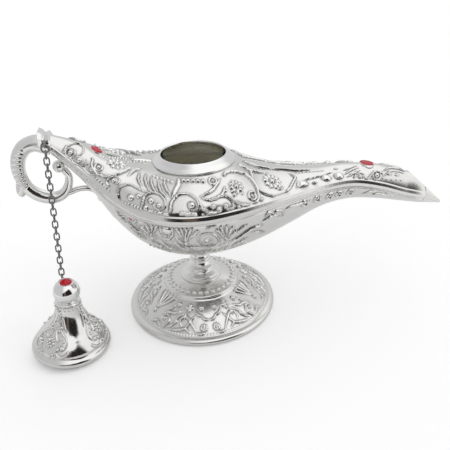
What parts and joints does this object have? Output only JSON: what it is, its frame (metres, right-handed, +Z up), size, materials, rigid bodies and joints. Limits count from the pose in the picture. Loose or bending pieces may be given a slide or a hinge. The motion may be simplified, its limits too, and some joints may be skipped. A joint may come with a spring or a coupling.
{
  "type": "genie oil lamp",
  "caption": "Boat-shaped metal oil lamp with a long beaked spout, scroll handle, turned foot, red stones and a bell lid held on a fine link chain.",
  "frame": {"origin": "on the floor, under the middle of the round foot", "axes": "+X along the body from the handle towards the tip of the spout; +Z up; the lid hangs on the -Y side"},
  "size_m": [0.196, 0.0741, 0.0925],
  "materials": {
    "cast_silver": "antique silver plate over a relief casting, dark patina in the recesses, raised parts polished",
    "polished_silver": "bright polished silver plate",
    "chain_steel": "dark nickel-plated steel wire",
    "fastener_steel": "zinc-plated steel",
    "red_stone": "faceted ruby-red glass"
  },
  "bodies": {
    "lamp": {"foot": "cast_silver", "foot_bolt": "fastener_steel", "foot_washer": "fastener_steel", "stem": "cast_silver", "body_nut": "fastener_steel", "lower_shell": "cast_silver", "upper_shell": "cast_silver", "neck_collar": "polished_silver", "handle": "cast_silver", "chain_lug": "cast_silver", "lug_eyelet": "chain_steel", "tail_bezel": "polished_silver", "tail_stone": "red_stone", "spout_bezel": "polished_silver", "spout_stone": "red_stone"},
    "link_01": {"chain_link_01": "chain_steel"},
    "link_02": {"chain_link_02": "chain_steel"},
    "link_03": {"chain_link_03": "chain_steel"},
    "link_04": {"chain_link_04": "chain_steel"},
    "link_05": {"chain_link_05": "chain_steel"},
    "link_06": {"chain_link_06": "chain_steel"},
    "link_07": {"chain_link_07": "chain_steel"},
    "link_08": {"chain_link_08": "chain_steel"},
    "link_09": {"chain_link_09": "chain_steel"},
    "link_10": {"chain_link_10": "chain_steel"},
    "link_11": {"chain_link_11": "chain_steel"},
    "link_12": {"chain_link_12": "chain_steel"},
    "link_13": {"chain_link_13": "chain_steel"},
    "link_14": {"chain_link_14": "chain_steel"},
    "link_15": {"chain_link_15": "chain_steel"},
    "link_16": {"chain_link_16": "chain_steel"},
    "link_17": {"chain_link_17": "chain_steel"},
    "link_18": {"chain_link_18": "chain_steel"},
    "link_19": {"chain_link_19": "chain_steel"},
    "link_20": {"chain_link_20": "chain_steel"},
    "link_21": {"chain_link_21": "chain_steel"},
    "lid": {"lid_bell": "cast_silver", "lid_knob": "cast_silver", "lid_knob_nut": "fastener_steel", "lid_bezel": "polished_silver", "lid_stone": "red_stone", "lid_eyelet": "chain_steel"}
  },
  "joints": [
    {"name": "ring_swing", "type": "hinge", "parent": "lamp", "child": "link_01", "pos_m": [-0.0582, -0.0063, 0.0872], "axis": [-0.0074, 0.9769, -0.2138], "range_deg": [-10, 40]},
    {"name": "link_02_swing", "type": "hinge", "parent": "link_01", "child": "link_02", "pos_m": [-0.05827, -0.00674, 0.08518], "axis": [-0.9994, 0, 0.0344], "range_deg": [-16, 40]},
    {"name": "link_03_swing", "type": "hinge", "parent": "link_02", "child": "link_03", "pos_m": [-0.05835, -0.00728, 0.08271], "axis": [0.0074, -0.9769, 0.2138], "range_deg": [-45, 14]},
    {"name": "link_04_swing", "type": "hinge", "parent": "link_03", "child": "link_04", "pos_m": [-0.05844, -0.00784, 0.08019], "axis": [0.9994, 0, -0.0344], "range_deg": [-45, 22]},
    {"name": "link_05_swing", "type": "hinge", "parent": "link_04", "child": "link_05", "pos_m": [-0.05853, -0.00839, 0.07767], "axis": [-0.0074, 0.9769, -0.2138], "range_deg": [-14, 45]},
    {"name": "link_06_swing", "type": "hinge", "parent": "link_05", "child": "link_06", "pos_m": [-0.05861, -0.00894, 0.07514], "axis": [-0.9994, 0, 0.0344], "range_deg": [-28, 45]},
    {"name": "link_07_swing", "type": "hinge", "parent": "link_06", "child": "link_07", "pos_m": [-0.0587, -0.00949, 0.07262], "axis": [0.0074, -0.9769, 0.2138], "range_deg": [-45, 35]},
    {"name": "link_08_swing", "type": "hinge", "parent": "link_07", "child": "link_08", "pos_m": [-0.05879, -0.01005, 0.0701], "axis": [0.9994, 0, -0.0344], "range_deg": [-45, 40]},
    {"name": "link_09_swing", "type": "hinge", "parent": "link_08", "child": "link_09", "pos_m": [-0.05888, -0.0106, 0.06758], "axis": [-0.0074, 0.9769, -0.2138], "range_deg": [-40, 45]},
    {"name": "link_10_swing", "type": "hinge", "parent": "link_09", "child": "link_10", "pos_m": [-0.05896, -0.01115, 0.06506], "axis": [-0.9994, 0, 0.0344], "range_deg": [-45, 45]},
    {"name": "link_11_swing", "type": "hinge", "parent": "link_10", "child": "link_11", "pos_m": [-0.05905, -0.0117, 0.06254], "axis": [0.0074, -0.9769, 0.2138], "range_deg": [-45, 45]},
    {"name": "link_12_swing", "type": "hinge", "parent": "link_11", "child": "link_12", "pos_m": [-0.05914, -0.01225, 0.06002], "axis": [0.9994, 0, -0.0344], "range_deg": [-45, 45]},
    {"name": "link_13_swing", "type": "hinge", "parent": "link_12", "child": "link_13", "pos_m": [-0.05922, -0.01281, 0.0575], "axis": [-0.0074, 0.9769, -0.2138], "range_deg": [-45, 45]},
    {"name": "link_14_swing", "type": "hinge", "parent": "link_13", "child": "link_14", "pos_m": [-0.05931, -0.01336, 0.05498], "axis": [-0.9994, 0, 0.0344], "range_deg": [-45, 45]},
    {"name": "link_15_swing", "type": "hinge", "parent": "link_14", "child": "link_15", "pos_m": [-0.0594, -0.01391, 0.05246], "axis": [0.0074, -0.9769, 0.2138], "range_deg": [-45, 45]},
    {"name": "link_16_swing", "type": "hinge", "parent": "link_15", "child": "link_16", "pos_m": [-0.05948, -0.01446, 0.04993], "axis": [0.9994, 0, -0.0344], "range_deg": [-45, 45]},
    {"name": "link_17_swing", "type": "hinge", "parent": "link_16", "child": "link_17", "pos_m": [-0.05957, -0.01502, 0.04741], "axis": [-0.0074, 0.9769, -0.2138], "range_deg": [-45, 45]},
    {"name": "link_18_swing", "type": "hinge", "parent": "link_17", "child": "link_18", "pos_m": [-0.05966, -0.01557, 0.04489], "axis": [-0.9994, 0, 0.0344], "range_deg": [-45, 45]},
    {"name": "link_19_swing", "type": "hinge", "parent": "link_18", "child": "link_19", "pos_m": [-0.05974, -0.01612, 0.04237], "axis": [0.0074, -0.9769, 0.2138], "range_deg": [-45, 45]},
    {"name": "link_20_swing", "type": "hinge", "parent": "link_19", "child": "link_20", "pos_m": [-0.05983, -0.01667, 0.03985], "axis": [0.9994, 0, -0.0344], "range_deg": [-45, 45]},
    {"name": "link_21_swing", "type": "hinge", "parent": "link_20", "child": "link_21", "pos_m": [-0.05992, -0.01723, 0.03733], "axis": [-0.0074, 0.9769, -0.2138], "range_deg": [-45, 45]},
    {"name": "lid_swing", "type": "hinge", "parent": "link_21", "child": "lid", "pos_m": [-0.06, -0.01778, 0.03481], "axis": [-0.9994, 0, 0.0344], "range_deg": [-45, 45]}
  ]
}
